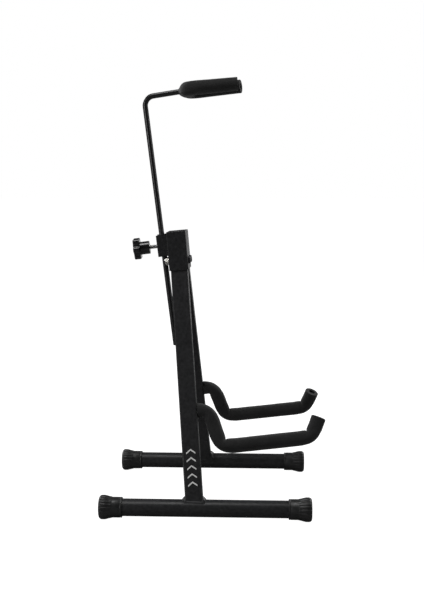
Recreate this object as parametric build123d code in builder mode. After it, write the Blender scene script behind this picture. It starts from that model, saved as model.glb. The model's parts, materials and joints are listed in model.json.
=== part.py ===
from build123d import *
import os
from math import atan2, cos, degrees, radians, sin, sqrt, tan

# Folding A-frame instrument stand. Millimetres, +Z up, +X towards the instrument, +Y to the left.
# The origin is on the floor, under the middle of the stand's box.

# --- overall -------------------------------------------------------------------------------
overall_length = 323.6
half_length = overall_length / 2
frame_lean = 5.0                 # the plane of the two legs leans back by this angle
mast_lean = 7.05                 # the support rod leans back a little more

# --- leg pivots and head -------------------------------------------------------------------
pivot_x = -55.0
pivot_z = 362.2
pivot_spacing = 28.0
head_wall = 1.5
head_inner_gap = 25.8            # between the front and back walls
head_below_pivot = 13.3
head_above_pivot = 44.3
head_corner_radius = 1.4
stop_clearance = 0.23            # between an open leg and the side wall that stops it
bolt_diameter = 6.0
bolt_hole_clearance = 0.2        # radial
bolt_head_radius = 5.5
bolt_head_height = 3.3
bolt_head_rounding = 1.8
bolt_socket_flat = 2.0           # half of the hexagon socket's width, and its depth
bolt_end = 2.0                   # thread that shows behind the nut
washer_radius = 5.9
washer_thickness = 1.2
nut_flat = 5.0                   # half of the nut's width across flats
nut_hexagon_height = 4.0
nut_collar_radius = 4.4
nut_collar_height = 1.5

# --- legs ----------------------------------------------------------------------------------
leg_depth = 25.0                 # along the foot tubes
leg_width = 20.0                 # across the stand
leg_wall = 1.5
leg_corner_radius = 2.0
leg_bore_radius = 0.8
leg_above_pivot = 8.0
pivot_sleeve_diameter = 8.0
pivot_sleeve_length = 25.4
running_clearance = 0.05         # radial, on every pin or shaft that turns or slides

# --- feet ----------------------------------------------------------------------------------
foot_spread = 260.0              # between the centre lines of the foot tubes
foot_tube_diameter = 25.0
foot_tube_wall = 1.5
foot_length = 303.5              # over the caps
foot_height = 17.1               # the tube's axis above the floor
cap_length = 33.0
cap_neck_length = 14.5
cap_neck_radius = 14.6
cap_flare_start_radius = 15.1
cap_flare_radius = 17.3
cap_end_wall = 4.0
cap_end_rounding = 4.5
cap_step_length = 1.0            # from the neck up to the start of the flare
cap_band_length = 4.0            # the widest part, before the rounding
foot_weld_rise = 4.5             # above the foot tube's top, along the leg
foot_weld_depth = 2.5            # below it
foot_weld_reach = 4.0            # in front of the leg and behind it
foot_weld_side = 1.5             # beside it
weld_edge = 0.2                  # thickness of a bead's thin edge

# --- cradle arms ---------------------------------------------------------------------------
arm_rod_radius = 5.0
arm_foam_radius = 10.65
foam_gap = 0.1                   # between a rod and the foam around it
arm_root = 226.3                 # from the pivot, along the leg
arm_root_to_bend = 17.5          # from the leg's front face to the first corner
arm_drop = 55.5                  # the straight run starts this far below the root, along the leg
arm_drop_angle = 77.0            # angles are from the normal of the leg's front face
arm_rise_angle = 1.9
arm_tip_angle = 65.4
arm_tip_drop = 23.5              # the tip is this far below the root, along the leg
arm_bend_radii = (15.0, 13.0, 13.0)
arm_rod_recess = 3.0             # the rod ends this far inside the foam
arm_foam_start = 0.5             # the foam starts this far from the leg
arm_foam_relief = 0.3            # between the weld and the foam that is pushed over it
arm_weld_height = 3.2
arm_weld_width = 3.4

# --- support rod and yoke ------------------------------------------------------------------
mast_radius = 4.0
mast_bottom_z = 232.0
clamp_z = 383.9                  # the clamp screw meets the rod's axis here
clamp_x = -80.0
mast_corner_z = 604.9
mast_bend_radius = 14.0
neck_rise_angle = 8.2            # the rod's upper run
yoke_apex_x = -42.6
yoke_length = 78.4               # centre of the base to the end of the prongs
yoke_half_width = 31.0           # from the middle to a prong, at the base
yoke_bend_radius = 14.0
yoke_toe_in = 6.5                # the prongs close a little towards their ends
yoke_rise_angle = 5.2
mast_turn = -5.0                 # the yoke stands turned a little in the clamp
mast_end_chamfer = 0.8
fork_radius = 5.0
yoke_foam_radius = 10.3
yoke_rod_recess = 3.0

# --- clamp ---------------------------------------------------------------------------------
block_back = 8.6                 # from the rod's axis to the back face
block_half_width = 9.0
block_height = 32.0
block_corner_radius = 1.5
block_weld_leg = 2.6
block_weld_start = 9.5           # above the pivots
block_weld_length = 22.0
bush_wall = 0.8
bush_flange_radius = 6.8
bush_flange_thickness = 1.5
bush_slot = 1.4
flange_gap = 0.1                 # between the block and the bush's flange
insert_gap = 0.25                # between the bush and the insert
insert_radius = 4.25
screw_radius = 3.0
screw_chamfer = 0.6
screw_hexagon_flat = 5.0         # half of the width of its end in the knob
screw_hexagon_height = 4.0
pad_gap = 0.35                   # between the bush and the loosened pad
pad_radius = 2.7
pad_thickness = 1.6
pad_rounding = 0.3
screw_gap = 0.1                  # between the pad and the screw's tip
screw_visible = 11.6             # from the block to the knob's neck
knob_neck_length = 14.2
knob_neck_radius = 9.75
knob_head_thickness = 10.0
knob_head_radius = 17.0
knob_lobe_radius = 4.6
knob_lobes = 6
knob_lobe_phase = -5.0
knob_core_radius = 13.8
knob_valley_radius = 1.8
knob_back_rounding = 1.6
knob_front_rounding = 1.0
knob_neck_rounding = 0.8
knob_recess_radius = 8.0
knob_recess_depth = 1.0

# --- worked out ----------------------------------------------------------------------------
forward = Vector(cos(radians(frame_lean)), 0, sin(radians(frame_lean)))
upward = Vector(-sin(radians(frame_lean)), 0, cos(radians(frame_lean)))
pivot_y = pivot_spacing / 2
pivot_drop = (pivot_z - foot_height) / cos(radians(frame_lean))
splay = degrees(atan2(foot_spread / 2 - pivot_y, pivot_drop))
leg_length = pivot_drop / cos(radians(splay))
foot_rear = -half_length
foot_front = foot_rear + foot_length
head_half = head_inner_gap / 2 + head_wall
stop_reach = head_below_pivot * tan(radians(splay)) + leg_width / 2 / cos(radians(splay))
head_width = 2 * (pivot_y + stop_reach + stop_clearance + head_wall)
washer_back = head_half + washer_thickness
nut_height = nut_hexagon_height + nut_collar_height
bush_radius = mast_radius + running_clearance + bush_wall
mast_up = Vector(-sin(radians(mast_lean)), 0, cos(radians(mast_lean)))
screw_outward = Vector(-cos(radians(mast_lean)), 0, -sin(radians(mast_lean)))

head_plane = Plane(origin=(pivot_x, 0, pivot_z), x_dir=forward, z_dir=upward)
mast_plane = Plane(origin=(clamp_x, 0, clamp_z), x_dir=-screw_outward, z_dir=mast_up)
screw_plane = Plane(origin=(clamp_x, 0, clamp_z), x_dir=(0, -1, 0), z_dir=screw_outward)


def mast_x(z):
    """X of the support rod's straight axis at height z."""
    return clamp_x - (z - clamp_z) * tan(radians(mast_lean))


def leg_plane(side):
    """Plane at a leg's pivot, with Z up along the leg and X forward."""
    along = upward * cos(radians(splay)) + Vector(0, -side, 0) * sin(radians(splay))
    return Plane(origin=(pivot_x, side * pivot_y, pivot_z), x_dir=forward, z_dir=along)


def bolt_plane(side):
    """Plane at a leg's pivot, with Z forward along the bolt."""
    return Plane(origin=(pivot_x, side * pivot_y, pivot_z), x_dir=(0, 1, 0), z_dir=forward)


def foot_plane(side, x):
    """Plane across a foot tube at x, with Z along +X."""
    return Plane(origin=(x, side * foot_spread / 2, foot_height), x_dir=(0, 1, 0), z_dir=(1, 0, 0))


def save(part, name):
    part.label = name
    export_step(part, f"parts/{name}.step")


# --- head ----------------------------------------------------------------------------------
def make_hinge_head():
    """Box open at the bottom, in which both legs swing. Its side walls are the opening stops."""
    height = head_below_pivot + head_above_pivot
    with BuildPart() as head:
        with BuildSketch(head_plane.offset(-head_below_pivot)):
            Rectangle(2 * head_half, head_width)
        extrude(amount=height)
        upright = head.edges().filter_by(Axis(head_plane.origin, upward))
        fillet(upright, head_corner_radius)
        top = head.faces().sort_by(Axis(head_plane.origin, upward))[-1]
        fillet(top.edges(), head_corner_radius / 2)
        with BuildSketch(head_plane.offset(-head_below_pivot)):
            Rectangle(head_inner_gap, head_width - 2 * head_wall)
        extrude(amount=height - head_wall, mode=Mode.SUBTRACT)
        for side in (1, -1):
            with BuildSketch(bolt_plane(side).offset(-head_half)):
                Circle(bolt_diameter / 2 + bolt_hole_clearance)
            extrude(amount=2 * head_half, mode=Mode.SUBTRACT)
    return head.part


def make_pivot_bolts():
    """Two button-head bolts, one through each leg."""
    shank_end = washer_back + nut_height + bolt_end
    with BuildPart() as bolts:
        for side in (1, -1):
            plane = bolt_plane(side)
            with BuildSketch(plane.offset(-shank_end)):
                Circle(bolt_diameter / 2)
            extrude(amount=shank_end + head_half)
            with BuildSketch(plane.offset(head_half)):
                Circle(bolt_head_radius)
            extrude(amount=bolt_head_height)
            with BuildSketch(plane.offset(head_half + bolt_head_height)):
                RegularPolygon(bolt_socket_flat, 6, major_radius=False)
            extrude(amount=-bolt_socket_flat, mode=Mode.SUBTRACT)
        outer = bolts.edges().filter_by(GeomType.CIRCLE)
        outer = outer.group_by(Axis(head_plane.origin, forward))[-1]
        fillet(outer, bolt_head_rounding)
    return bolts.part


def make_pivot_washers():
    with BuildPart() as washers:
        for side in (1, -1):
            with BuildSketch(bolt_plane(side).offset(-washer_back)):
                Circle(washer_radius)
                Circle(bolt_diameter / 2 + bolt_hole_clearance, mode=Mode.SUBTRACT)
            extrude(amount=washer_thickness)
    return washers.part


def make_pivot_nuts():
    """Two locking nuts behind the head: a hexagon with a round collar."""
    with BuildPart() as nuts:
        for side in (1, -1):
            face = bolt_plane(side).offset(-washer_back)
            with BuildSketch(face):
                RegularPolygon(nut_flat, 6, major_radius=False)
            extrude(amount=-nut_hexagon_height)
            with BuildSketch(face.offset(-nut_hexagon_height)):
                Circle(nut_collar_radius)
            extrude(amount=-nut_collar_height)
            with BuildSketch(face):
                Circle(bolt_diameter / 2)
            extrude(amount=-nut_height, mode=Mode.SUBTRACT)
    return nuts.part


# --- clamp ---------------------------------------------------------------------------------
def make_clamp_block():
    """Block behind the head, bored for the rod's bush and, from behind, for the insert."""
    reach = block_back + pivot_x - clamp_x
    beyond = 2 * head_width
    with BuildPart() as block:
        with BuildSketch(mast_plane.offset(-block_height / 2)):
            with Locations((reach / 2 - block_back, 0)):
                Rectangle(reach, 2 * block_half_width)
        extrude(amount=block_height)
        upright = block.edges().filter_by(Axis(mast_plane.origin, mast_up))
        fillet(upright.group_by(Axis(mast_plane.origin, -screw_outward))[0], block_corner_radius)
        with BuildSketch(head_plane.offset(-beyond / 2)):
            with Locations((beyond / 2 - head_half, 0)):
                Rectangle(beyond, beyond)
        extrude(amount=beyond, mode=Mode.SUBTRACT)
        with BuildSketch(mast_plane.offset(-block_height / 2)):
            Circle(bush_radius + running_clearance)
        extrude(amount=block_height, mode=Mode.SUBTRACT)
        with BuildSketch(screw_plane):
            Circle(insert_radius)
        extrude(amount=block_back, mode=Mode.SUBTRACT)
    return block.part


def make_clamp_block_welds():
    """Two fillet welds between the sides of the clamp block and the back of the head."""
    with BuildPart() as welds:
        for side in (1, -1):
            with BuildSketch(head_plane.offset(block_weld_start)):
                with BuildLine():
                    Polyline(
                        (-head_half, side * block_half_width),
                        (-head_half, side * (block_half_width + block_weld_leg)),
                        (-head_half - block_weld_leg, side * block_half_width),
                        close=True,
                    )
                make_face()
            extrude(amount=block_weld_length)
    return welds.part


def make_threaded_insert():
    with BuildPart() as insert:
        with BuildSketch(screw_plane.offset(bush_radius + insert_gap)):
            Circle(insert_radius)
            Circle(screw_radius + running_clearance, mode=Mode.SUBTRACT)
        extrude(amount=block_back - bush_radius - insert_gap)
    return insert.part


def make_guide_bush():
    """Split bush with a flange on top: it lines the block's bore and turns with the rod."""
    below_flange = block_height + flange_gap
    with BuildPart() as bush:
        with BuildSketch(mast_plane.offset(-block_height / 2)):
            Circle(bush_radius)
        extrude(amount=below_flange)
        with BuildSketch(mast_plane.offset(block_height / 2 + flange_gap)):
            Circle(bush_flange_radius)
        extrude(amount=bush_flange_thickness)
        with BuildSketch(mast_plane.offset(-block_height / 2)):
            Circle(mast_radius + running_clearance)
        extrude(amount=below_flange + bush_flange_thickness, mode=Mode.SUBTRACT)
        with BuildSketch(mast_plane.offset(-block_height / 2)):
            with Locations((bush_flange_radius, 0)):
                Rectangle(2 * bush_flange_radius, bush_slot)
        extrude(amount=below_flange + bush_flange_thickness, mode=Mode.SUBTRACT)
    return bush.part


pad_start = bush_radius + pad_gap
screw_start = pad_start + pad_thickness + screw_gap
knob_start = block_back + screw_visible
knob_head_start = knob_start + knob_neck_length
knob_end = knob_head_start + knob_head_thickness


def make_pressure_pad():
    with BuildPart() as pad:
        with BuildSketch(screw_plane.offset(pad_start)):
            Circle(pad_radius)
        extrude(amount=pad_thickness)
        fillet(pad.edges().filter_by(GeomType.CIRCLE), pad_rounding)
    return pad.part


def make_clamp_screw():
    """Screw with a hexagon end that is moulded into the knob."""
    with BuildPart() as screw:
        with BuildSketch(screw_plane.offset(screw_start)):
            Circle(screw_radius)
        extrude(amount=knob_head_start - screw_start)
        with BuildSketch(screw_plane.offset(knob_head_start)):
            RegularPolygon(screw_hexagon_flat, 6, major_radius=False)
        extrude(amount=screw_hexagon_height)
        tip = screw.faces().sort_by(Axis(screw_plane.origin, screw_outward))[0]
        chamfer(tip.edges(), screw_chamfer)
    return screw.part


def make_clamp_knob():
    """Lobed head on a round neck."""
    with BuildPart() as knob:
        with BuildSketch(screw_plane.offset(knob_head_start)) as outline:
            Circle(knob_core_radius)
            with PolarLocations(knob_head_radius - knob_lobe_radius, knob_lobes, knob_lobe_phase):
                Circle(knob_lobe_radius)
            fillet(outline.vertices(), knob_valley_radius)
        extrude(amount=knob_head_thickness)
        outward = Axis(screw_plane.origin, screw_outward)
        fillet(knob.faces().sort_by(outward)[-1].edges(), knob_back_rounding)
        fillet(knob.faces().sort_by(outward)[0].edges(), knob_front_rounding)
        with BuildSketch(screw_plane.offset(knob_end)):
            Circle(knob_recess_radius)
        extrude(amount=-knob_recess_depth, mode=Mode.SUBTRACT)
        with BuildSketch(screw_plane.offset(knob_start)):
            Circle(knob_neck_radius)
        extrude(amount=knob_neck_length)
        fillet(knob.faces().sort_by(outward)[0].edges(), knob_neck_rounding)
        with BuildSketch(screw_plane.offset(knob_start)):
            Circle(screw_radius)
        extrude(amount=knob_neck_length, mode=Mode.SUBTRACT)
        with BuildSketch(screw_plane.offset(knob_head_start)):
            RegularPolygon(screw_hexagon_flat, 6, major_radius=False)
        extrude(amount=screw_hexagon_height, mode=Mode.SUBTRACT)
    return knob.part


# --- support rod and yoke ------------------------------------------------------------------
mast_corner = (mast_x(mast_corner_z), mast_corner_z)
yoke_apex_z = mast_corner_z + (yoke_apex_x - mast_corner[0]) * tan(radians(neck_rise_angle))
yoke_forward = Vector(cos(radians(yoke_rise_angle)), 0, sin(radians(yoke_rise_angle)))
yoke_normal = Vector(-sin(radians(yoke_rise_angle)), 0, cos(radians(yoke_rise_angle)))
yoke_plane = Plane(origin=(yoke_apex_x, 0, yoke_apex_z), x_dir=yoke_forward, z_dir=yoke_normal)


def swept_tube(path, outer, inner=0.0):
    """Round bar, or a sleeve when an inner radius is given, along a path."""
    with BuildPart() as tube:
        with BuildSketch(Plane(origin=path @ 0, z_dir=path % 0)):
            Circle(outer)
            if inner:
                Circle(inner, mode=Mode.SUBTRACT)
        sweep(path=path)
    return tube.part


def fork_path(prong_end):
    """U in the yoke's plane, with its base at the plane's origin and its prongs toed in."""
    end_y = yoke_half_width - prong_end * tan(radians(yoke_toe_in))
    with BuildLine(yoke_plane) as path:
        FilletPolyline(
            (prong_end, -end_y),
            (0, -yoke_half_width),
            (0, yoke_half_width),
            (prong_end, end_y),
            radius=yoke_bend_radius,
        )
    return path.wire()


def turned(part):
    """The part turned about the support rod's axis to where the rod is clamped."""
    return part.rotate(Axis(mast_plane.origin, mast_up), mast_turn)


def make_yoke_fork():
    return swept_tube(fork_path(yoke_length - yoke_rod_recess), fork_radius)


def make_support_rod(fork):
    """Round rod with one bend, coped at its upper end to the fork's base."""
    with BuildLine(Plane.XZ) as path:
        FilletPolyline(
            (mast_x(mast_bottom_z), mast_bottom_z),
            mast_corner,
            (yoke_apex_x, yoke_apex_z),
            radius=mast_bend_radius,
        )
    rod = swept_tube(path.wire(), mast_radius)
    rod = rod - fork
    rod = rod.solids().sort_by(SortBy.VOLUME)[-1]
    with BuildPart() as trimmed:
        add(rod)
        low = trimmed.faces().filter_by(GeomType.PLANE).sort_by(Axis.Z)[0]
        chamfer(low.edges(), mast_end_chamfer)
    return trimmed.part


def make_yoke_sleeve():
    """Foam over the whole fork, pierced at the base for the support rod."""
    sleeve = swept_tube(fork_path(yoke_length), yoke_foam_radius, fork_radius + foam_gap)
    neck_direction = (-cos(radians(neck_rise_angle)), 0, -sin(radians(neck_rise_angle)))
    with BuildPart() as pierced:
        add(sleeve)
        with BuildSketch(Plane(origin=yoke_plane.origin, z_dir=neck_direction)):
            Circle(mast_radius + foam_gap)
        extrude(amount=3 * yoke_foam_radius, mode=Mode.SUBTRACT)
    return pierced.part


# --- legs ----------------------------------------------------------------------------------
def leg_envelope(side):
    """The leg tube's outer form, down to the foot tube's axis."""
    with BuildPart() as envelope:
        with BuildSketch(leg_plane(side).offset(-leg_length)):
            RectangleRounded(leg_depth, leg_width, leg_corner_radius)
        extrude(amount=leg_length + leg_above_pivot)
    return envelope.part


def foot_envelope(side):
    """The foot tube's outer form."""
    with BuildPart() as envelope:
        with BuildSketch(foot_plane(side, foot_rear + cap_end_wall)):
            Circle(foot_tube_diameter / 2)
        extrude(amount=foot_length - 2 * cap_end_wall)
    return envelope.part


def make_leg_tube(side):
    """Square tube, drilled for the pivot sleeve and coped to the foot tube."""
    outside = leg_envelope(side)
    foot = foot_envelope(side)
    with BuildPart() as leg:
        add(outside)
        with BuildSketch(leg_plane(side).offset(-leg_length)):
            RectangleRounded(leg_depth - 2 * leg_wall, leg_width - 2 * leg_wall, leg_bore_radius)
        extrude(amount=leg_length + leg_above_pivot, mode=Mode.SUBTRACT)
        with BuildSketch(bolt_plane(side).offset(-leg_depth)):
            Circle(pivot_sleeve_diameter / 2)
        extrude(amount=2 * leg_depth, mode=Mode.SUBTRACT)
        add(foot, mode=Mode.SUBTRACT)
    return leg.part


def make_pivot_sleeve(side):
    with BuildPart() as sleeve:
        with BuildSketch(bolt_plane(side).offset(-pivot_sleeve_length / 2)):
            Circle(pivot_sleeve_diameter / 2)
            Circle(bolt_diameter / 2 + running_clearance, mode=Mode.SUBTRACT)
        extrude(amount=pivot_sleeve_length)
    return sleeve.part


def make_foot_tube(side):
    outside = foot_envelope(side)
    with BuildPart() as foot:
        add(outside)
        with BuildSketch(foot_plane(side, foot_rear + cap_end_wall)):
            Circle(foot_tube_diameter / 2 - foot_tube_wall)
        extrude(amount=foot_length - 2 * cap_end_wall, mode=Mode.SUBTRACT)
    return foot.part


def make_foot_weld(side):
    """Bead around the leg's lower end, widest along the foot tube."""
    bead_top = leg_length - foot_tube_diameter / 2 - foot_weld_rise
    bead_bottom = leg_length - foot_tube_diameter / 2 + foot_weld_depth
    foot_depth = leg_depth + 2 * foot_weld_reach
    foot_width = leg_width + 2 * foot_weld_side
    leg = leg_envelope(side)
    foot = foot_envelope(side)
    with BuildPart() as weld:
        with BuildSketch(leg_plane(side).offset(-bead_top)):
            RectangleRounded(leg_depth + 2 * weld_edge, leg_width + 2 * weld_edge, leg_corner_radius)
        with BuildSketch(leg_plane(side).offset(-bead_bottom)):
            RectangleRounded(foot_depth, foot_width, leg_corner_radius + foot_weld_side / 2)
        loft()
        add(leg, mode=Mode.SUBTRACT)
        add(foot, mode=Mode.SUBTRACT)
    return weld.part


def make_foot_cap(side, end):
    """Rubber cap: straight neck, flared body, rounded end and a flat where it meets the floor."""
    tip = foot_front if end > 0 else foot_rear
    centre_y = side * foot_spread / 2
    plane = Plane(origin=(tip, centre_y, foot_height), x_dir=(end, 0, 0), z_dir=(0, -end, 0))
    flare_start = cap_neck_length - cap_length
    with BuildPart() as cap:
        with BuildSketch(plane):
            with BuildLine():
                Polyline(
                    (-cap_length, foot_tube_diameter / 2),
                    (-cap_length, cap_neck_radius),
                    (flare_start, cap_neck_radius),
                    (flare_start + cap_step_length, cap_flare_start_radius),
                    (-cap_end_rounding - cap_band_length, cap_flare_radius),
                    (-cap_end_rounding, cap_flare_radius),
                )
                RadiusArc(
                    (-cap_end_rounding, cap_flare_radius),
                    (0, cap_flare_radius - cap_end_rounding),
                    cap_end_rounding,
                )
                Polyline(
                    (0, cap_flare_radius - cap_end_rounding),
                    (0, 0),
                    (-cap_end_wall, 0),
                    (-cap_end_wall, foot_tube_diameter / 2),
                    (-cap_length, foot_tube_diameter / 2),
                )
            make_face()
        revolve(axis=Axis((tip, centre_y, foot_height), (1, 0, 0)))
        with BuildSketch(Plane.XY):
            with Locations((tip, centre_y)):
                Rectangle(2 * cap_length, 2 * cap_length)
        extrude(amount=-cap_length, mode=Mode.SUBTRACT)
    return cap.part


# --- cradle arms ---------------------------------------------------------------------------
def arm_points():
    """Corners of an arm's axis in the leg's plane: forward of the pivot, and up along the leg."""
    face = leg_depth / 2
    top = face + arm_root_to_bend
    valley = top + arm_drop / tan(radians(arm_drop_angle))
    tip_height = -arm_root - arm_tip_drop
    end_tilt = cos(radians(arm_tip_angle)) * forward
    end_tilt += sin(radians(arm_tip_angle)) * leg_plane(1).z_dir
    tip_reach = half_length - arm_foam_radius * sqrt(1 - end_tilt.X**2) - pivot_x
    tip = (tip_reach - tip_height * leg_plane(1).z_dir.X) / forward.X
    rise = tan(radians(arm_rise_angle))
    climb = tan(radians(arm_tip_angle))
    straight_height_at_tip = -arm_root - arm_drop + (tip - valley) * rise
    front = tip - (tip_height - straight_height_at_tip) / (climb - rise)
    front_height = -arm_root - arm_drop + (front - valley) * rise
    return [
        (face, -arm_root),
        (top, -arm_root),
        (valley, -arm_root - arm_drop),
        (front, front_height),
        (tip, tip_height),
    ]


def arm_plane(side):
    """The upright plane through a leg's axis, with X forward and Y up along the leg."""
    leg = leg_plane(side)
    return Plane(origin=leg.origin, x_dir=leg.x_dir, z_dir=leg.x_dir.cross(leg.z_dir))


def arm_path(side, start_offset, end_offset):
    """Arm axis as straight runs and arcs, with both ends moved along it by the offsets."""
    points = arm_points()
    points[0] = (points[0][0] + start_offset, points[0][1])
    tip, tip_height = points[-1]
    tip -= end_offset * cos(radians(arm_tip_angle))
    tip_height -= end_offset * sin(radians(arm_tip_angle))
    points[-1] = (tip, tip_height)
    with BuildLine(arm_plane(side)) as path:
        FilletPolyline(*points, radius=list(arm_bend_radii))
    return path.wire()


def root_plane(side, distance):
    """Plane across an arm's root, at a distance in front of the leg's face."""
    leg = leg_plane(side)
    root = leg.origin + leg.x_dir * (leg_depth / 2 + distance) - leg.z_dir * arm_root
    return Plane(origin=root, x_dir=(0, 1, 0), z_dir=forward)


def make_cradle_arm(side):
    """Bent round bar that stands on the leg's front face."""
    return swept_tube(arm_path(side, 0, arm_rod_recess), arm_rod_radius)


def make_arm_weld(side):
    """Conical bead around the arm's root."""
    with BuildPart() as weld:
        with BuildSketch(root_plane(side, 0)):
            Circle(arm_rod_radius + arm_weld_width)
        with BuildSketch(root_plane(side, arm_weld_height)):
            Circle(arm_rod_radius + weld_edge)
        loft()
        with BuildSketch(root_plane(side, 0)):
            Circle(arm_rod_radius)
        extrude(amount=arm_weld_height, mode=Mode.SUBTRACT)
    return weld.part


def make_arm_sleeve(side):
    """Foam sleeve over the arm, open at both ends and relieved over the root's weld."""
    path = arm_path(side, arm_foam_start, 0)
    with BuildPart() as sleeve:
        add(swept_tube(path, arm_foam_radius, arm_rod_radius + foam_gap))
        with BuildSketch(root_plane(side, 0)):
            Circle(arm_rod_radius + arm_weld_width + arm_foam_relief)
        extrude(amount=arm_weld_height + arm_foam_relief, mode=Mode.SUBTRACT)
    return sleeve.part


# --- everything ----------------------------------------------------------------------------
def build_all():
    os.makedirs("parts", exist_ok=True)
    save(make_hinge_head(), "hinge_head")
    save(make_pivot_bolts(), "pivot_bolts")
    save(make_pivot_washers(), "pivot_washers")
    save(make_pivot_nuts(), "pivot_nuts")
    save(make_clamp_block(), "rod_clamp_block")
    save(make_clamp_block_welds(), "clamp_block_welds")
    save(make_threaded_insert(), "threaded_insert")
    save(make_guide_bush(), "guide_bush")
    save(make_pressure_pad(), "pressure_pad")
    save(make_clamp_screw(), "clamp_screw")
    save(make_clamp_knob(), "clamp_knob")
    fork = make_yoke_fork()
    save(turned(fork), "yoke_fork")
    save(turned(make_support_rod(fork)), "support_rod")
    save(turned(make_yoke_sleeve()), "yoke_sleeve")
    for side_name, side in (("left", 1), ("right", -1)):
        save(make_leg_tube(side), f"{side_name}_leg_tube")
        save(make_pivot_sleeve(side), f"{side_name}_pivot_sleeve")
        save(make_foot_tube(side), f"{side_name}_foot_tube")
        save(make_foot_weld(side), f"{side_name}_foot_weld")
        save(make_foot_cap(side, 1), f"{side_name}_front_foot_cap")
        save(make_foot_cap(side, -1), f"{side_name}_rear_foot_cap")
        save(make_cradle_arm(side), f"{side_name}_cradle_arm")
        save(make_arm_weld(side), f"{side_name}_arm_weld")
        save(make_arm_sleeve(side), f"{side_name}_arm_sleeve")


build_all()
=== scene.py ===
import json
from math import atan2, ceil, cos, exp, pi, radians, sin, sqrt, tan

import bmesh
import bpy
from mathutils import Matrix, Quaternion, Vector, noise


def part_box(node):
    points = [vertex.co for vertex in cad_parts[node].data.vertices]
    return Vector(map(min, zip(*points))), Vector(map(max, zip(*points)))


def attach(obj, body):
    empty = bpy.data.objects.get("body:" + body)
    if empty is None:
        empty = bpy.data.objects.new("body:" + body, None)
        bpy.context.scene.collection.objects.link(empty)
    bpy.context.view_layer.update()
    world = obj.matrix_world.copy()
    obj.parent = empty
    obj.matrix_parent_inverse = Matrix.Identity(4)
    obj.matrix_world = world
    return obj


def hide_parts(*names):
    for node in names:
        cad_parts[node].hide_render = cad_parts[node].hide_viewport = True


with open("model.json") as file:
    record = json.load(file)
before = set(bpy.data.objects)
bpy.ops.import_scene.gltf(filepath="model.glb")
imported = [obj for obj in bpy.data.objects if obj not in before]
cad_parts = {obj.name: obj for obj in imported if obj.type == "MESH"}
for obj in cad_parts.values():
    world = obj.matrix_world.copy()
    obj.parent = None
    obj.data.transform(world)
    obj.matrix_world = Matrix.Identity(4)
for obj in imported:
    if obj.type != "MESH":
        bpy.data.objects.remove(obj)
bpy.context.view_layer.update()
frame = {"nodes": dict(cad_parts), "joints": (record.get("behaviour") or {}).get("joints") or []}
nodes = frame["nodes"]
joints = {joint["name"]: joint for joint in frame["joints"]}

mm = 0.001
Y_AXIS = Vector((0, 1, 0))

# --- driving dimensions, as in the CAD model ------------------------------------------------
arm_rod_radius = 5.0 * mm
arm_foam_radius = 10.65 * mm
foam_gap = 0.1 * mm
arm_root = 226.3 * mm            # from the pivot, along the leg
arm_root_to_bend = 17.5 * mm
arm_drop = 55.5 * mm
arm_drop_angle = radians(77.0)
arm_rise_angle = radians(1.9)
arm_tip_angle = radians(65.4)
arm_tip_drop = 23.5 * mm
arm_bend_radii = (15.0 * mm, 13.0 * mm, 13.0 * mm)
arm_foam_start = 0.5 * mm
leg_depth = 25.0 * mm
leg_width = 20.0 * mm
leg_corner_radius = 2.0 * mm
yoke_apex_x = -42.6 * mm
yoke_length = 78.4 * mm
yoke_half_width = 31.0 * mm
yoke_bend_radius = 14.0 * mm
yoke_toe_in = radians(6.5)
yoke_rise_angle = radians(5.2)
yoke_neck_rise = radians(8.2)
mast_turn = radians(-5.0)
mast_corner_z = 604.9 * mm
fork_radius = 5.0 * mm
yoke_foam_radius = 10.5 * mm
screw_radius = 3.0 * mm
screw_pitch = 1.0 * mm
screw_hexagon_flat = 5.0 * mm
screw_hexagon_height = 4.0 * mm
cap_neck_length = 14.5 * mm
cap_neck_radius = 14.6 * mm
cap_flare_start_radius = 15.1 * mm
cap_flare_radius = 17.3 * mm
cap_end_rounding = 4.5 * mm
cap_end_wall = 4.0 * mm


# --- places from the frame ------------------------------------------------------------------
def extent(node, origin, axis):
    """How far a CAD node reaches along an axis: its lowest and highest distance from the origin."""
    reach = [(vertex.co - origin).dot(axis) for vertex in nodes[node].data.vertices]
    return min(reach), max(reach)


def centre(node):
    """Middle of a CAD node's box."""
    low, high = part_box(node)
    return (low + high) / 2


class Leg:
    """Directions of one leg: forward, up along the leg, and outward to its own side."""

    def __init__(self, name):
        joint = joints[f"{name}_leg_fold"]
        self.name = name
        self.body = f"{name}_leg"
        self.pivot = Vector(joint["pos_m"])
        self.forward = Vector(joint["axis"])
        if self.forward.x < 0:
            self.forward.negate()
        self.foot = centre(f"{name}_foot_tube")
        down = self.foot - self.pivot
        down.x = -down.z * self.forward.z / self.forward.x      # square to forward
        self.along = -down.normalized()
        self.length = down.length
        self.outward = self.forward.cross(self.along)
        if self.outward.y * self.pivot.y < 0:
            self.outward.negate()

    def at(self, reach, height, side=0.0):
        """A point forward of the pivot, above it along the leg, and to the leg's outer side."""
        return self.pivot + self.forward * reach + self.along * height + self.outward * side


legs = [Leg("left"), Leg("right")]
head_origin = (legs[0].pivot + legs[1].pivot) / 2
head_forward = legs[0].forward
head_upward = head_forward.cross(Y_AXIS)
mast_origin = Vector(joints["mast_swivel"]["pos_m"])
mast_up = Vector(joints["mast_swivel"]["axis"])
screw_outward = Vector(joints["knob_turn"]["axis"])


# --- mesh code ------------------------------------------------------------------------------
def face_outward(mesh):
    """Turn the faces of closed shells to the outside."""
    shell = bmesh.new()
    shell.from_mesh(mesh)
    bmesh.ops.recalc_face_normals(shell, faces=shell.faces)
    shell.to_mesh(mesh)
    shell.free()


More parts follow.
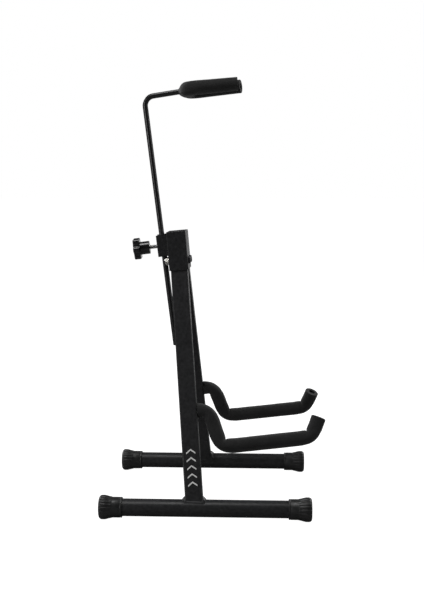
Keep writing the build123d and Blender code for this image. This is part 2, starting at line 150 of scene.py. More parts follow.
def new_piece(name, vertices, faces, material, body, smooth=True):
    """One closed mesh or more, as a piece that rides on a body."""
    mesh = bpy.data.meshes.new(name)
    mesh.from_pydata([tuple(v) for v in vertices], [], faces)
    mesh.validate()
    face_outward(mesh)
    if smooth:
        mesh.shade_smooth()
    mesh.materials.append(material)
    piece = bpy.data.objects.new(name, mesh)
    bpy.context.scene.collection.objects.link(piece)
    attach(piece, body)
    return piece


def ring_faces(ring_count, size, closed):
    """Quads between rings of equal size. A closed run joins its last ring to its first."""
    faces = []
    for ring in range(ring_count if closed else ring_count - 1):
        here = ring * size
        there = (ring + 1) % ring_count * size
        for i in range(size):
            j = (i + 1) % size
            faces.append((here + i, here + j, there + j, there + i))
    return faces


def capped(faces, ring_count, size):
    """The same faces with a flat polygon over each end."""
    last = (ring_count - 1) * size
    return faces + [tuple(range(size)), tuple(range(last, last + size))]


class Route:
    """A line of straight runs joined by arcs."""

    def __init__(self, corners, radii):
        self.parts = []
        self.bends = []
        self.length = 0.0
        start = corners[0]
        for before, corner, after, radius in zip(corners, corners[1:], corners[2:], radii):
            inward = (corner - before).normalized()
            outward = (after - corner).normalized()
            turn = inward.angle(outward)
            reach = radius * tan(turn / 2)
            self.add_run(start, corner - inward * reach)
            toward = (outward - inward * cos(turn)).normalized()
            self.add_arc(corner - inward * reach, inward, toward, radius, turn)
            start = corner + outward * reach
        self.add_run(start, corners[-1])

    def add_run(self, start, end):
        length = (end - start).length
        if length > 1e-6:
            direction = (end - start).normalized()
            self.parts.append((self.length, length, start, direction, None, 0.0))
            self.length += length

    def add_arc(self, start, direction, toward, radius, turn):
        self.parts.append((self.length, radius * turn, start, direction, toward, radius))
        self.bends.append((self.length, radius * turn, radius))
        self.length += radius * turn

    def at(self, distance):
        """Place, direction, and the direction to the bend's centre (None on a straight run)."""
        for begin, length, start, direction, toward, radius in self.parts:
            if distance <= begin + length + 1e-9:
                break
        ahead = distance - begin
        if toward is None:
            return start + direction * ahead, direction, None
        angle = ahead / radius
        heading = direction * cos(angle) + toward * sin(angle)
        inner = toward * cos(angle) - direction * sin(angle)
        return start + (toward - inner) * radius, heading, inner

    def bend_direction(self, distance):
        """Direction to the centre of the nearest bend, also just outside it."""
        begin, length, _ = min(
            self.bends, key=lambda b: abs(distance - b[0] - b[1] / 2) - b[1] / 2
        )
        inside = min(max(distance, begin + 1e-6), begin + length - 1e-6)
        return self.at(inside)[2]


# --- materials ------------------------------------------------------------------------------
class Shade:
    """Small helper around one node material."""

    def __init__(self, name):
        self.material = bpy.data.materials.new(name)
        self.material.use_nodes = True
        self.tree = self.material.node_tree
        self.shader = self.tree.nodes["Principled BSDF"]
        self.place = self.tree.nodes.new("ShaderNodeTexCoord").outputs["Object"]

    def node(self, kind, **settings):
        made = self.tree.nodes.new(kind)
        for key, value in settings.items():
            setattr(made, key, value)
        return made

    def link(self, source, target):
        self.tree.links.new(source, target)

    def stretched(self, scale):
        """The place, scaled by a different factor along each axis."""
        mapping = self.node("ShaderNodeMapping")
        mapping.inputs["Scale"].default_value = scale
        self.link(self.place, mapping.inputs["Vector"])
        return mapping.outputs["Vector"]

    def noise(self, scale, detail=3.0, place=None):
        made = self.node("ShaderNodeTexNoise")
        made.inputs["Scale"].default_value = scale
        made.inputs["Detail"].default_value = detail
        self.link(place or self.place, made.inputs["Vector"])
        return made.outputs["Fac"]

    def cells(self, scale):
        made = self.node("ShaderNodeTexVoronoi")
        made.inputs["Scale"].default_value = scale
        self.link(self.place, made.inputs["Vector"])
        return made.outputs["Distance"]

    def spread(self, source, low, high, to_low=0.0, to_high=1.0):
        """Source values from low to high become to_low to to_high, clamped."""
        made = self.node("ShaderNodeMapRange", clamp=True)
        made.inputs["From Min"].default_value = low
        made.inputs["From Max"].default_value = high
        made.inputs["To Min"].default_value = to_low
        made.inputs["To Max"].default_value = to_high
        self.link(source, made.inputs["Value"])
        return made.outputs["Result"]

    def clouds(self, scale, detail=3.0):
        """Soft patches, from 0 to 1."""
        return self.spread(self.noise(scale, detail), 0.35, 0.7)

    def uneven(self, scale, low, high):
        """A value that wanders between low and high."""
        return self.spread(self.noise(scale), 0.3, 0.7, low, high)

    def math(self, operation, first, second):
        made = self.node("ShaderNodeMath", operation=operation, use_clamp=True)
        for socket, value in zip(made.inputs, (first, second)):
            if isinstance(value, float):
                socket.default_value = value
            else:
                self.link(value, socket)
        return made.outputs["Value"]

    def mix(self, mask, dark, light):
        """Colour between two colours, each a tuple or a socket."""
        made = self.node("ShaderNodeMix", data_type="RGBA")
        self.link(mask, made.inputs[0])
        for socket, value in zip(made.inputs[6:8], (dark, light)):
            if isinstance(value, tuple):
                socket.default_value = (*value, 1.0)
            else:
                self.link(value, socket)
        return made.outputs[2]

    def bump(self, layers):
        """Layers of (height socket, distance in metres), from coarse to fine."""
        normal = None
        for height, distance in layers:
            made = self.node("ShaderNodeBump")
            made.inputs["Strength"].default_value = 1.0
            made.inputs["Distance"].default_value = distance
            self.link(height, made.inputs["Height"])
            if normal:
                self.link(normal, made.inputs["Normal"])
            normal = made.outputs["Normal"]
        self.link(normal, self.shader.inputs["Normal"])

    def set(self, **values):
        for key, value in values.items():
            socket = self.shader.inputs[key.replace("_", " ")]
            if isinstance(value, tuple):
                socket.default_value = (*value, 1.0)
            elif isinstance(value, (int, float)):
                socket.default_value = value
            else:
                self.link(value, socket)

    def edge_mask(self, radius, low, high):
        """Near 1 along convex or concave edges, 0 on open faces."""
        rounded = self.node("ShaderNodeBevel", samples=4)
        rounded.inputs["Radius"].default_value = radius
        true_normal = self.node("ShaderNodeNewGeometry").outputs["Normal"]
        dot = self.node("ShaderNodeVectorMath", operation="DOT_PRODUCT")
        self.link(rounded.outputs["Normal"], dot.inputs[0])
        self.link(true_normal, dot.inputs[1])
        return self.spread(dot.outputs["Value"], low, high, 1.0, 0.0)


def frame_paint():
    """Powder coat: orange peel, fine grain, faint scuffs, and lighter edges, partly a thin coat and
    partly a painted highlight.
    """
    shade = Shade("powder_coat")
    wear_and_highlight_strength = 0.45
    coat = shade.mix(shade.clouds(26.0, 4.0), (0.0055, 0.0055, 0.0058), (0.0085, 0.0085, 0.0088))
    lines = shade.noise(90.0, 2.0, place=shade.stretched((1.0, 9.0, 0.35)))
    scratch = shade.spread(lines, 0.655, 0.69)
    scuff = shade.math("MULTIPLY", scratch, shade.spread(shade.noise(11.0, 2.0), 0.5, 0.62))
    # Every edge is painted lighter: partly a thinner coat, partly a painted highlight along the
    # edges. The scuffs are real wear.
    edges = shade.math("MULTIPLY", shade.edge_mask(0.5 * mm, 0.985, 0.86), shade.noise(240.0))
    edge_coat_and_highlight = shade.math("MULTIPLY", edges, wear_and_highlight_strength)
    rubbed = shade.math("MULTIPLY", scuff, wear_and_highlight_strength)
    wear_and_edge_highlight = shade.math("MAXIMUM", edge_coat_and_highlight, rubbed)
    shade.set(Base_Color=shade.mix(wear_and_edge_highlight, coat, (0.09, 0.09, 0.095)), Specular_IOR_Level=0.26)
    shade.set(Roughness=shade.uneven(60.0, 0.33, 0.44))
    shade.bump([(shade.noise(420.0, 1.5), 0.022 * mm), (shade.cells(1700.0), 0.012 * mm)])
    return shade.material


def rod_paint():
    """Smoother coat on the rod, rubbed along the stretch that slides in the bush."""
    shade = Shade("rod_paint")
    height = shade.node("ShaderNodeSeparateXYZ")
    shade.link(shade.place, height.inputs[0])
    low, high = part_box("guide_bush")
    above = shade.spread(height.outputs["Z"], high.z, high.z + 0.05, 1.0, 0.0)
    below = shade.spread(height.outputs["Z"], low.z - 0.06, low.z, 0.0, 1.0)
    lines = shade.noise(240.0, 2.0, place=shade.stretched((3.0, 3.0, 0.03)))
    streak = shade.spread(lines, 0.54, 0.66)
    rubbed = shade.math("MULTIPLY", shade.math("MULTIPLY", above, below), streak)
    coat = shade.mix(shade.clouds(40.0), (0.0065, 0.0065, 0.0068), (0.0100, 0.0100, 0.0105))
    shade.set(Base_Color=shade.mix(rubbed, coat, (0.05, 0.05, 0.052)), Specular_IOR_Level=0.55)
    shade.set(Roughness=shade.spread(rubbed, 0.0, 1.0, 0.30, 0.20))
    shade.bump([(shade.noise(420.0, 1.5), 0.03 * mm), (shade.cells(1600.0), 0.01 * mm)])
    return shade.material


def zinc():
    """Bright zinc plating with a faint warm cast and fine machining lines."""
    shade = Shade("zinc_plating")
    shade.set(Base_Color=shade.mix(shade.clouds(130.0), (0.50, 0.51, 0.53), (0.62, 0.60, 0.55)))
    shade.set(Metallic=1.0, Roughness=shade.uneven(900.0, 0.18, 0.32))
    shade.bump([(shade.noise(2600.0, 2.0), 0.008 * mm)])
    return shade.material


def oxide_steel():
    """Blackened steel of the bolts."""
    shade = Shade("oxide_steel")
    shade.set(Base_Color=shade.mix(shade.clouds(200.0), (0.035, 0.035, 0.038), (0.075, 0.075, 0.08)))
    shade.set(Metallic=1.0, Roughness=shade.uneven(500.0, 0.26, 0.42))
    shade.bump([(shade.noise(1800.0, 2.0), 0.01 * mm)])
    return shade.material


def knob_plastic():
    """Glossy moulded plastic with faint flow marks and handling haze."""
    shade = Shade("knob_plastic")
    flow = shade.clouds(70.0, 4.0)
    shade.set(Base_Color=shade.mix(flow, (0.007, 0.007, 0.008), (0.012, 0.012, 0.013)))
    shade.set(Roughness=shade.spread(shade.noise(150.0, 4.0), 0.35, 0.75, 0.09, 0.22))
    shade.bump([(shade.noise(190.0, 2.0), 0.03 * mm), (shade.noise(1500.0, 2.0), 0.004 * mm)])
    return shade.material


def nylon():
    """Dull black nylon of the guide bush and the pressure pad."""
    shade = Shade("black_nylon")
    shade.set(Base_Color=shade.mix(shade.clouds(300.0), (0.018, 0.018, 0.019), (0.028, 0.028, 0.029)))
    shade.set(Roughness=shade.uneven(800.0, 0.48, 0.62))
    shade.bump([(shade.noise(1600.0, 2.0), 0.015 * mm)])
    return shade.material


def rubber():
    """Moulded rubber: satin skin, fine grain, and dust rubbed in where it meets the floor."""
    shade = Shade("cap_rubber")
    height = shade.node("ShaderNodeSeparateXYZ")
    shade.link(shade.place, height.inputs[0])
    low_down = shade.spread(height.outputs["Z"], 0.0, 7.0 * mm, 1.0, 0.0)
    dust = shade.math("MULTIPLY", low_down, shade.spread(shade.noise(260.0, 4.0), 0.42, 0.68))
    skin = shade.mix(shade.clouds(90.0, 4.0), (0.011, 0.011, 0.0115), (0.018, 0.018, 0.018))
    shade.set(Base_Color=shade.mix(dust, skin, (0.055, 0.052, 0.048)), Specular_IOR_Level=0.5)
    shade.set(Roughness=shade.uneven(140.0, 0.34, 0.50))
    shade.bump([(shade.noise(330.0, 2.0), 0.05 * mm), (shade.cells(1500.0), 0.03 * mm)])
    return shade.material


def foam():
    """Closed-cell foam: matte skin with fine cells, pinholes and a slightly uneven tone."""
    shade = Shade("black_foam")
    pores = shade.spread(shade.cells(1150.0), 0.05, 0.28)
    skin = shade.mix(shade.clouds(45.0, 4.0), (0.0125, 0.0125, 0.0127), (0.0195, 0.0195, 0.0197))
    shade.set(Base_Color=shade.mix(pores, (0.006, 0.006, 0.006), skin), Specular_IOR_Level=0.30)
    shade.set(Sheen_Weight=0.16, Sheen_Roughness=0.5)
    shade.set(Roughness=shade.uneven(320.0, 0.72, 0.88))
    shade.bump([
        (shade.noise(230.0), 0.16 * mm),
        (shade.noise(900.0, 2.0), 0.09 * mm),
        (pores, 0.07 * mm),
    ])
    return shade.material


def print_ink():
    """Pale screen-printed ink with small gaps over the coat's grain."""
    shade = Shade("print_ink")
    gaps = shade.spread(shade.noise(1300.0), 0.30, 0.42)
    shade.set(Base_Color=shade.mix(gaps, (0.45, 0.45, 0.45), (0.90, 0.90, 0.89)))
    shade.set(Roughness=shade.spread(shade.noise(500.0, 2.0), 0.3, 0.7, 0.42, 0.58))
    shade.bump([(shade.noise(1200.0, 2.0), 0.02 * mm)])
    return shade.material


finishes = {
    "black_paint": frame_paint(),
    "black_rod_paint": rod_paint(),
    "black_steel": oxide_steel(),
    "zinc": zinc(),
    "knob_plastic": knob_plastic(),
    "black_nylon": nylon(),
    "cap_rubber": rubber(),
    "foam": foam(),
}
for node in nodes.values():
    for place in node.material_slots:
        place.material = finishes[place.material.name.split(".")[0]]


# --- foam sleeves ---------------------------------------------------------------------------
edge_rounding = 0.8 * mm
ring_step = 1.6 * mm
ring_size = 72
end_steps = (0.0, 0.12, 0.35, 0.7, 1.2)      # in parts of the edge rounding
crease_depth = 1.25 * mm
stretch_depth = 2.4 * mm                     # flattening of the outer side in a 75 degree bend
stretch_reach = 9.0 * mm                     # how far past the bend's ends the flattening goes
bore_depths = (0.0, 1.0 * mm, 3.0 * mm, 8.0 * mm)
bore_step = 6.0 * mm
cut_face_steps = 5
yoke_taper = 0.6 * mm
entry_bulge = 3.2 * mm
entry_bulge_radius = 6.5 * mm


def bend_push(route, foam_radius, distance, facing):
    """How far the skin is pushed in at the bends: a soft crease inside, a flatter back outside."""
    push = 0.0
    for begin, length, radius in route.bends:
        off = abs(distance - begin - length / 2)
        width = 0.24 * length + 0.4 * mm
        dip = exp(-((off / width) ** 2))
        swell = exp(-(((off - 2.6 * width) / (1.3 * width)) ** 2))
        depth = crease_depth * (foam_radius / radius) ** 1.5
        push += depth * (dip - 0.4 * swell) * max(0.0, facing) ** 1.6
        stretched = (1 + cos(pi * min(1.0, off / (length / 2 + stretch_reach)))) / 2
        sharpness = length / radius / radians(75.0)
        push += stretch_depth * sharpness**2 * stretched * max(0.0, -facing) ** 1.5
    return push


def sleeve_stations(length):
    """Distances of the outer rings, closer together at both rounded ends."""
    ends = [edge_rounding * step for step in end_steps]
    count = ceil((length - 2 * ends[-1]) / ring_step)
    middle = [ends[-1] + (length - 2 * ends[-1]) * i / count for i in range(1, count)]
    return ends + middle + [length - end for end in reversed(ends)]


def rounded_edge(from_end):
    """How much smaller the outer radius is near a cut end."""
    if from_end >= edge_rounding:
        return 0.0
    return edge_rounding - sqrt(edge_rounding**2 - (edge_rounding - from_end) ** 2)


def bore_stations(length):
    """Distances of the bore's rings, closer together at both ends."""
    deepest = bore_depths[-1]
    count = ceil((length - 2 * deepest) / bore_step)
    middle = [deepest + (length - 2 * deepest) * i / count for i in range(1, count)]
    return list(bore_depths) + middle + [length - depth for depth in reversed(bore_depths)]


def around(route, distance, across):
    """Place on the route, and the directions square to it in equal steps around it."""
    place, heading, _ = route.at(distance)
    other = heading.cross(across)
    angles = [2 * pi * i / ring_size for i in range(ring_size)]
    return place, [across * cos(angle) + other * sin(angle) for angle in angles]


def skin_ring(route, distance, across, outer, change):
    """Outer skin of the foam at one place: slightly lumpy, and rounded near the cut ends."""
    place, radials = around(route, distance, across)
    toward = route.bend_direction(distance)
    edge = rounded_edge(min(distance, route.length - distance))
    ring = []
    for radial in radials:
        spot = place + radial * outer
        lump = 0.22 * mm * noise.noise(spot * 38) + 0.10 * mm * noise.noise(spot * 140)
        radius = outer - edge + lump - bend_push(route, outer, distance, radial.dot(toward))
        if change:
            radius -= change(spot)
        ring.append(place + radial * radius)
    return ring


def cut_face(route, distance, across, outer, bore):
    """Grainy rings of a flat-cut end, from the skin in to the bore."""
    place, radials = around(route, distance, across)
    heading = route.at(distance)[1]
    outward = heading if distance else -heading
    rim = outer - edge_rounding
    rings = []
    for i in range(1, cut_face_steps):
        spots = [place + radial * (rim - (rim - bore) * i / cut_face_steps) for radial in radials]
        rings.append([
            spot + outward * 0.16 * mm * (noise.noise(spot * 420) - 0.5) for spot in spots
        ])
    return rings


def foam_sleeve(name, route, across, outer, bore, body, node, change=None):
    """Foam tube along a route, open at both flat-cut ends. Across is square to the route's plane."""
    rings = [
        skin_ring(route, distance, across, outer, change)
        for distance in sleeve_stations(route.length)
    ]
    rings += cut_face(route, route.length, across, outer, bore)
    for distance in reversed(bore_stations(route.length)):
        place, radials = around(route, distance, across)
        rings.append([place + radial * bore for radial in radials])
    rings += reversed(cut_face(route, 0.0, across, outer, bore))
    vertices = [vertex for ring in rings for vertex in ring]
    faces = ring_faces(len(rings), ring_size, True)
    piece = new_piece(name, vertices, faces, finishes["foam"], body)
    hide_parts(node)


def arm_route(leg):
    """The arm's axis, from where its foam starts to its tip."""
    face = leg_depth / 2
    top = face + arm_root_to_bend
    valley = top + arm_drop / tan(arm_drop_angle)
    tip_height = -arm_root - arm_tip_drop
    tilt = leg.forward * cos(arm_tip_angle) + leg.along * sin(arm_tip_angle)
    front_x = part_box(f"{leg.name}_arm_sleeve")[1].x
    tip_x = front_x - arm_foam_radius * sqrt(1 - tilt.x**2) - leg.pivot.x
    tip = (tip_x - tip_height * leg.along.x) / leg.forward.x
    rise = tan(arm_rise_angle)
    climb = tan(arm_tip_angle)
    low = -arm_root - arm_drop
    front = tip - (tip_height - low - (tip - valley) * rise) / (climb - rise)
    corners = [
        leg.at(face + arm_foam_start, -arm_root),
        leg.at(top, -arm_root),
        leg.at(valley, low),
        leg.at(front, low + (front - valley) * rise),
        leg.at(tip, tip_height),
    ]
    return Route(corners, arm_bend_radii)


def make_arm_sleeves():
    """Foam over both cradle arms."""
    for leg in legs:
        across = leg.forward.cross(leg.along)
        foam_sleeve(
            f"{leg.name}_arm_foam", arm_route(leg), across, arm_foam_radius,
            arm_rod_radius + foam_gap, leg.body, f"{leg.name}_arm_sleeve",
        )


def make_yoke_foam():
    """Foam over the U-shaped fork, with a swelling where the rod enters it."""
    turn = Quaternion(mast_up, mast_turn)
    corner_x = mast_origin.x - (mast_corner_z - mast_origin.z) * -mast_up.x / mast_up.z
    apex_z = mast_corner_z + (yoke_apex_x - corner_x) * tan(yoke_neck_rise)
    apex = Vector((yoke_apex_x, 0, apex_z))
    forward = Vector((cos(yoke_rise_angle), 0, sin(yoke_rise_angle)))
    normal = Vector((-sin(yoke_rise_angle), 0, cos(yoke_rise_angle)))
    end_y = yoke_half_width - yoke_length * tan(yoke_toe_in)

    def spot(x, y):
        return mast_origin + turn @ (apex + forward * x + Y_AXIS * y - mast_origin)

    corners = [
        spot(yoke_length, -end_y),
        spot(0, -yoke_half_width),
        spot(0, yoke_half_width),
        spot(yoke_length, end_y),
    ]
    route = Route(corners, (yoke_bend_radius, yoke_bend_radius))
    base = spot(0, 0)
    prongs = turn @ forward
    neck = turn @ Vector((-cos(yoke_neck_rise), 0, -sin(yoke_neck_rise)))

    def narrowed(point):
        """Thinner towards the prongs' ends, and pushed out around the rod's entry."""
        thinner = yoke_taper * min(1.0, max(0.0, (point - base).dot(prongs) / yoke_length))
        behind = (point - base).dot(neck)
        if behind <= 0:
            return thinner
        off = (point - base - neck * behind).length
        return thinner - entry_bulge * exp(-((off / entry_bulge_radius) ** 2))

    foam_sleeve(
        "yoke_foam", route, turn @ normal, yoke_foam_radius, fork_radius + foam_gap,
        "mast", "yoke_sleeve", narrowed,
    )


# --- foot caps ------------------------------------------------------------------------------
flute_count = 20
flute_depth = 0.75 * mm
flare_steps = 9
rounding_steps = 8
cap_ring_size = 160
cap_mouth_chamfer = 0.4 * mm
cap_neck_groove = 0.25 * mm
cap_end_dish = 0.6 * mm


def neck_profile(length, tube_radius, flare_start):
    """The bore, the mouth, and the neck with one fine groove around it."""
    groove_radius = cap_neck_radius - cap_neck_groove
    return [
        (cap_end_wall, tube_radius, 0.0),
        (length - cap_mouth_chamfer, tube_radius, 0.0),
        (length, tube_radius + cap_mouth_chamfer, 0.0),
        (length, cap_neck_radius - 0.5 * mm, 0.0),
        (length - 0.15 * mm, cap_neck_radius - 0.15 * mm, 0.0),
        (length - 0.5 * mm, cap_neck_radius, 0.0),
        (length - 1.6 * mm, cap_neck_radius, 0.0),
        (length - 2.0 * mm, groove_radius, 0.0),
        (length - 2.6 * mm, groove_radius, 0.0),
        (length - 3.0 * mm, cap_neck_radius, 0.0),
        (flare_start + 1.2 * mm, cap_neck_radius, 0.0),
        (flare_start + 0.2 * mm, cap_neck_radius + 0.15 * mm, 0.15 * mm),
    ]


def flare_profile(flare_start):
    """The fluted flare, which widens to a straight band near the end."""
    band = cap_end_rounding + 4.0 * mm
    profile = []
    for i in range(flare_steps + 1):
        share = i / flare_steps
        eased = share * share * (3 - 2 * share) * 0.35 + share * 0.65
        radius = cap_flare_start_radius + (cap_flare_radius - cap_flare_start_radius) * eased
        groove = flute_depth * min(1.0, 0.35 + 1.6 * share)
        profile.append((flare_start - (flare_start - band) * share - 0.4 * mm, radius, groove))
    profile.append((cap_end_rounding + 0.5 * mm, cap_flare_radius, flute_depth))
    return profile


def end_profile():
    """The rounded edge, where the flutes run out, and the slightly dished end face."""
    profile = []
    for i in range(1, rounding_steps + 1):
        angle = pi / 2 * i / rounding_steps
        groove = flute_depth * cos(angle) ** 0.7
        radius = cap_flare_radius - cap_end_rounding * (1 - cos(angle))
        profile.append((cap_end_rounding * (1 - sin(angle)), radius, groove))
    face_radius = cap_flare_radius - cap_end_rounding
    return profile + [
        (0.0, face_radius - 2.4 * mm, 0.0),
        (0.35 * mm, face_radius - 2.9 * mm, 0.0),
        (cap_end_dish, face_radius - 3.4 * mm, 0.0),
        (cap_end_dish, face_radius - 6.5 * mm, 0.0),
        (cap_end_dish, 1.0 * mm, 0.0),
    ]


def cap_profile(length, tube_radius):
    """(distance from the end face, radius, flute depth) from the bore's floor to the end's middle."""
    flare_start = length - cap_neck_length
    return neck_profile(length, tube_radius, flare_start) + flare_profile(flare_start) + end_profile()


def groove_shape(angle):
    """Narrow rounded grooves between broad ribs."""
    return max(0.0, cos(flute_count * angle / 2) ** 2 - 0.45) ** 1.3 / 0.55**1.3


def foot_tube_radius(leg):
    """Half the tube's width across, since it lies along X."""
    low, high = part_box(f"{leg.name}_foot_tube")
    return (high.y - low.y) / 2


def make_foot_cap(leg, end):
    """Fluted rubber cap, flat where it meets the floor."""
    node = f"{leg.name}_{end}_foot_cap"
    low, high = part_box(node)
    length = high.x - low.x
    direction = 1 if end == "front" else -1
    tip = high.x if direction > 0 else low.x
    profile = cap_profile(length, foot_tube_radius(leg))
    vertices = []
    for distance, radius, groove in profile:
        for i in range(cap_ring_size):
            angle = 2 * pi * i / cap_ring_size
            reach = radius - groove * groove_shape(angle)
            vertices.append(Vector((
                tip - direction * distance,
                leg.foot.y + direction * reach * cos(angle),
                max(0.0, leg.foot.z + reach * sin(angle)),
            )))
    faces = capped(ring_faces(len(profile), cap_ring_size, False), len(profile), cap_ring_size)
    name = f"{leg.name}_{end}_cap"
    piece = new_piece(name, vertices, faces, finishes["cap_rubber"], leg.body)
    piece.data.set_sharp_from_angle(angle=radians(50))
    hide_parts(node)


# --- weld beads -----------------------------------------------------------------------------
ripple_pitch = 1.7 * mm
bead_ring_size = 20
bead_fullness = 1.35             # 1 is a flat bevel, 2 a round section
foot_weld_side = 1.9 * mm
foot_weld_ends_more = 2.7 * mm
arm_weld_size = 2.9 * mm
block_weld_size = 2.3 * mm
outline_step = 0.8 * mm
corner_steps = 5


def weld_bead(name, places, outs, ups, sizes, body, node, closed):
    """Rippled fillet bead. At each place, outs and ups are the two directions that it fills."""
    travelled = 0.0
    vertices = []
    for i, place in enumerate(places):
        if i:
            travelled += (place - places[i - 1]).length
        wander = 1 + 0.10 * noise.noise(place * 260)
        for j in range(bead_ring_size):
            angle = 2 * pi * j / bead_ring_size
            c, s = cos(angle), sin(angle)
            lobe = (abs(c) ** bead_fullness + abs(s) ** bead_fullness) ** (-1 / bead_fullness)
            phase = travelled / ripple_pitch - 0.22 * (c + s)
            ripple = 0.9 + 0.14 * abs(sin(pi * phase))
            reach = sizes[i] * lobe * ripple * wander
            vertices.append(place + (outs[i] * c + ups[i] * s) * reach)
    faces = ring_faces(len(places), bead_ring_size, closed)
    if not closed:
        faces = capped(faces, len(places), bead_ring_size)
    piece = new_piece(name, vertices, faces, finishes["black_paint"], body)
    if node:
        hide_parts(node)


def leg_outline():
    """Points around the leg's section as (forward, outward, normal forward, normal outward)."""
    half_x = leg_depth / 2
    half_y = leg_width / 2
    r = leg_corner_radius
    runs = [
        ((half_x, -half_y + r), (half_x, half_y - r), (1, 0)),
        ((half_x - r, half_y), (-half_x + r, half_y), (0, 1)),
        ((-half_x, half_y - r), (-half_x, -half_y + r), (-1, 0)),
        ((-half_x + r, -half_y), (half_x - r, -half_y), (0, -1)),
    ]
    outline = []
    for (x0, y0), (x1, y1), (nx, ny) in runs:
        length = abs(x1 - x0) + abs(y1 - y0)
        count = ceil(length / outline_step)
        for i in range(count + 1):
            share = i / count
            outline.append((x0 + (x1 - x0) * share, y0 + (y1 - y0) * share, nx, ny))
        start = atan2(ny, nx)
        for i in range(1, corner_steps):
            angle = start + pi / 2 * i / corner_steps
            c, s = cos(angle), sin(angle)
            outline.append((x1 - nx * r + r * c, y1 - ny * r + r * s, c, s))
    return outline


def make_foot_weld(leg):
    """Bead where the leg's end meets the top of the foot tube."""
    tube_radius = foot_tube_radius(leg)
    slope = leg.along.y**2 + leg.along.z**2
    places, outs, ups, sizes = [], [], [], []
    for x, y, nx, ny in leg_outline():
        edge = leg.at(x, 0, y)
        dy = edge.y - leg.foot.y
        dz = edge.z - leg.foot.z
        half_b = dy * leg.along.y + dz * leg.along.z
        gap = max(0.0, half_b**2 - slope * (dy**2 + dz**2 - tube_radius**2))
        place = edge + leg.along * ((-half_b + sqrt(gap)) / slope)
        out = leg.forward * nx + leg.outward * ny
        skin = Vector((0, place.y - leg.foot.y, place.z - leg.foot.z)).normalized()
        places.append(place)
        outs.append((out - skin * out.dot(skin)).normalized())
        ups.append(leg.along)
        sizes.append(foot_weld_side + foot_weld_ends_more * abs(nx))
    node = f"{leg.name}_foot_weld"
    weld_bead(f"{leg.name}_foot_bead", places, outs, ups, sizes, leg.body, node, True)


def make_arm_weld(leg):
    """Ring of weld around the arm's root."""
    root = leg.at(leg_depth / 2, -arm_root)
    side = leg.forward.cross(leg.along)
    count = 56
    angles = [2 * pi * i / count for i in range(count)]
    outs = [side * cos(angle) + leg.along * sin(angle) for angle in angles]
    places = [root + out * arm_rod_radius for out in outs]
    ups = [leg.forward] * count
    sizes = [arm_weld_size] * count
    node = f"{leg.name}_arm_weld"
    weld_bead(f"{leg.name}_arm_bead", places, outs, ups, sizes, leg.body, node, True)


def make_block_welds():
    """Two straight beads that hold the clamp block to the head."""
    bottom, top = extent("clamp_block_welds", head_origin, head_upward)
    back = head_origin + head_forward * extent("hinge_head", head_origin, head_forward)[0]
    half_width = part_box("rod_clamp_block")[1].y
    count = 34
    for side, name, node in ((1, "left", "clamp_block_welds"), (-1, "right", None)):
        places, sizes = [], []
        for i in range(count):
            share = i / (count - 1)
            height = bottom + (top - bottom) * share
            places.append(back + head_upward * height + Y_AXIS * side * half_width)
            sizes.append(block_weld_size * min(1.0, 0.45 + 3.5 * min(share, 1 - share)))
        outs = [Y_AXIS * side] * count
        ups = [-head_forward] * count
        weld_bead(f"clamp_block_bead_{name}", places, outs, ups, sizes, "head", node, False)


# --- clamp screw ----------------------------------------------------------------------------
screw_ring_size = 48
rings_per_turn = 8
thread_depth = 0.55 * mm
lead_in_length = 1.2 * mm
lead_in_depth = 0.6 * mm


def thread_radius(distance, angle, from_tip):
    """Radius of the helical thread, which starts thinner at the screw's tip."""
    turn = (distance / screw_pitch - angle / (2 * pi)) % 1.0
    ridge = max(0.0, min(1.0, 1.25 - abs(2 * turn - 1) * 1.5))
    lead_in = min(1.0, from_tip / lead_in_length)
    return screw_radius - thread_depth * (1 - ridge) - lead_in_depth * (1 - lead_in)


def make_clamp_screw():
    """Screw with a real helical thread and a hexagon end inside the knob."""
    origin = Vector(joints["knob_turn"]["pos_m"])
    start, end = extent("clamp_screw", origin, screw_outward)
    hexagon = end - screw_hexagon_height
    side = screw_outward.cross(Y_AXIS).normalized()
    count = ceil((hexagon - start) / (screw_pitch / rings_per_turn))
    stations = [(start + (hexagon - start) * i / count, True) for i in range(count + 1)]
    stations += [(hexagon, False), (end, False)]
    vertices = []
    for distance, threaded in stations:
        for i in range(screw_ring_size):
            angle = 2 * pi * i / screw_ring_size
            if threaded:
                radius = thread_radius(distance, angle, distance - start)
            else:
                radius = screw_hexagon_flat / cos((angle % (pi / 3)) - pi / 6)
            radial = Y_AXIS * cos(angle) + side * sin(angle)
            vertices.append(origin + screw_outward * distance + radial * radius)
    faces = capped(ring_faces(len(stations), screw_ring_size, False), len(stations), screw_ring_size)
    piece = new_piece("clamp_screw_thread", vertices, faces, finishes["zinc"], "knob")
    piece.data.set_sharp_from_angle(angle=radians(40))
    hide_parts("clamp_screw")


# --- printed motif --------------------------------------------------------------------------
def make_leg_motif(leg):
    """Five plain chevrons printed on the leg's outer face."""
    count = 5
    pitch = 11.5 * mm
    half_span = 6.6 * mm
    peak = 5.0 * mm
    stroke = 2.3 * mm
    first = -leg.length + 30.0 * mm
    skin = leg_width / 2
    thickness = 0.05 * mm
    outline = [
        (-half_span, 0.0), (0.0, peak), (half_span, 0.0),
        (half_span, stroke), (0.0, peak + stroke), (-half_span, stroke),
    ]
    size = len(outline)
    under = [(0, 1, 4, 5), (1, 2, 3, 4)]
    over = [tuple(size + k for k in face) for face in under]
    shell = under + over + ring_faces(2, size, False)
    vertices, faces = [], []
    for i in range(count):
        begin = len(vertices)
        faces += [tuple(begin + k for k in face) for face in shell]
        for level in (skin - thickness / 2, skin + thickness):
            vertices += [leg.at(x, first + pitch * i + z, level) for x, z in outline]
    new_piece("leg_motif", vertices, faces, print_ink(), leg.body, smooth=False)


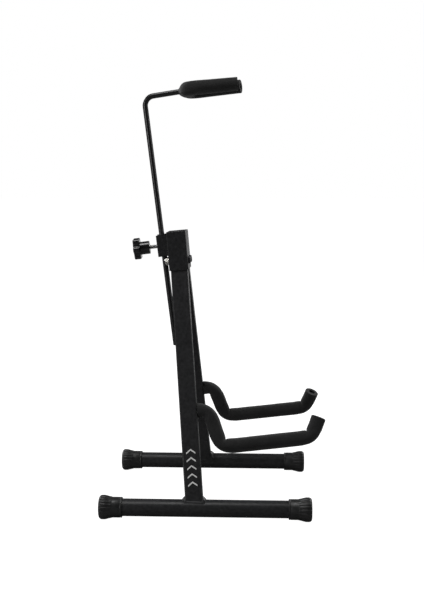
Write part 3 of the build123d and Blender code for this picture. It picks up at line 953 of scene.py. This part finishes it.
# --- camera, light and floor ----------------------------------------------------------------
def make_camera():
    """The view is from the stand's right side, a little from the front and from above."""
    azimuth = radians(2.5)
    elevation = radians(6.23)
    distance = 1.5715
    target = Vector((-0.0060, 0.0, 0.3014))
    back = Vector((
        sin(azimuth) * cos(elevation),
        -cos(azimuth) * cos(elevation),
        sin(elevation),
    ))
    data = bpy.data.cameras.new("camera")
    data.lens = 62.07
    data.sensor_width = 36.0
    camera = bpy.data.objects.new("camera", data)
    camera.location = target + back * distance
    camera.rotation_euler = (-back).to_track_quat("-Z", "Y").to_euler()
    bpy.context.scene.collection.objects.link(camera)
    bpy.context.scene.camera = camera


def make_softbox(name, place, target, size, power):
    """Square area light that faces its target."""
    data = bpy.data.lights.new(name, "AREA")
    data.shape = "SQUARE"
    data.size = size
    data.energy = power
    light = bpy.data.objects.new(name, data)
    light.location = place
    light.rotation_euler = (Vector(target) - Vector(place)).to_track_quat("-Z", "Y").to_euler()
    bpy.context.scene.collection.objects.link(light)


def make_world():
    """Soft grey surroundings behind a white backdrop."""
    world = bpy.data.worlds.new("studio")
    bpy.context.scene.world = world
    world.use_nodes = True
    tree = world.node_tree
    tree.nodes.clear()
    output = tree.nodes.new("ShaderNodeOutputWorld")
    chooser = tree.nodes.new("ShaderNodeMixShader")
    path = tree.nodes.new("ShaderNodeLightPath")
    room = tree.nodes.new("ShaderNodeBackground")
    backdrop = tree.nodes.new("ShaderNodeBackground")
    room.inputs["Color"].default_value = (1.0, 1.0, 1.0, 1.0)
    room.inputs["Strength"].default_value = 0.045
    backdrop.inputs["Color"].default_value = (1.0, 1.0, 1.0, 1.0)
    backdrop.inputs["Strength"].default_value = 1.0
    tree.links.new(path.outputs["Is Camera Ray"], chooser.inputs[0])
    tree.links.new(room.outputs[0], chooser.inputs[1])
    tree.links.new(backdrop.outputs[0], chooser.inputs[2])
    tree.links.new(chooser.outputs[0], output.inputs["Surface"])


def make_floor():
    """Pale floor, which looks white and throws back only a little light."""
    half = 40.0
    mesh = bpy.data.meshes.new("floor")
    corners = [(-half, -half, 0), (half, -half, 0), (half, half, 0), (-half, half, 0)]
    mesh.from_pydata(corners, [], [(0, 1, 2, 3)])
    material = bpy.data.materials.new("pale_floor")
    material.use_nodes = True
    tree = material.node_tree
    shader = tree.nodes["Principled BSDF"]
    shader.inputs["Base Color"].default_value = (0.30, 0.30, 0.30, 1.0)
    shader.inputs["Roughness"].default_value = 0.9
    shader.inputs["Specular IOR Level"].default_value = 0.1
    shader.inputs["Emission Color"].default_value = (1.0, 1.0, 1.0, 1.0)
    path = tree.nodes.new("ShaderNodeLightPath")
    tree.links.new(path.outputs["Is Camera Ray"], shader.inputs["Emission Strength"])
    mesh.materials.append(material)
    floor = bpy.data.objects.new("floor", mesh)
    bpy.context.scene.collection.objects.link(floor)


# --- everything -----------------------------------------------------------------------------
make_arm_sleeves()
make_yoke_foam()
for leg in legs:
    make_foot_cap(leg, "front")
    make_foot_cap(leg, "rear")
    make_foot_weld(leg)
    make_arm_weld(leg)
make_block_welds()
make_clamp_screw()
make_leg_motif(legs[1])
make_camera()
make_softbox("overhead", (-0.5, -0.55, 2.6), (0.0, 0.0, 0.2), 1.0, 24.0)
make_softbox("front_strip", (2.2, -0.3, 0.9), (0.0, 0.0, 0.3), 1.0, 7.0)
make_softbox("side_fill", (-1.9, -1.7, 0.7), (-0.05, 0.0, 0.30), 0.9, 14.0)
make_softbox("back_card", (0.35, 2.4, 0.45), (-0.05, 0.0, 0.35), 1.0, 2.2)
make_softbox("far_front", (1.7, 2.0, 1.9), (0.0, 0.0, 0.3), 1.2, 34.0)
make_softbox("far_rear", (-2.0, 1.8, 1.6), (0.0, 0.0, 0.3), 1.2, 30.0)
make_world()
make_floor()
bpy.context.scene.view_settings.view_transform = "Standard"
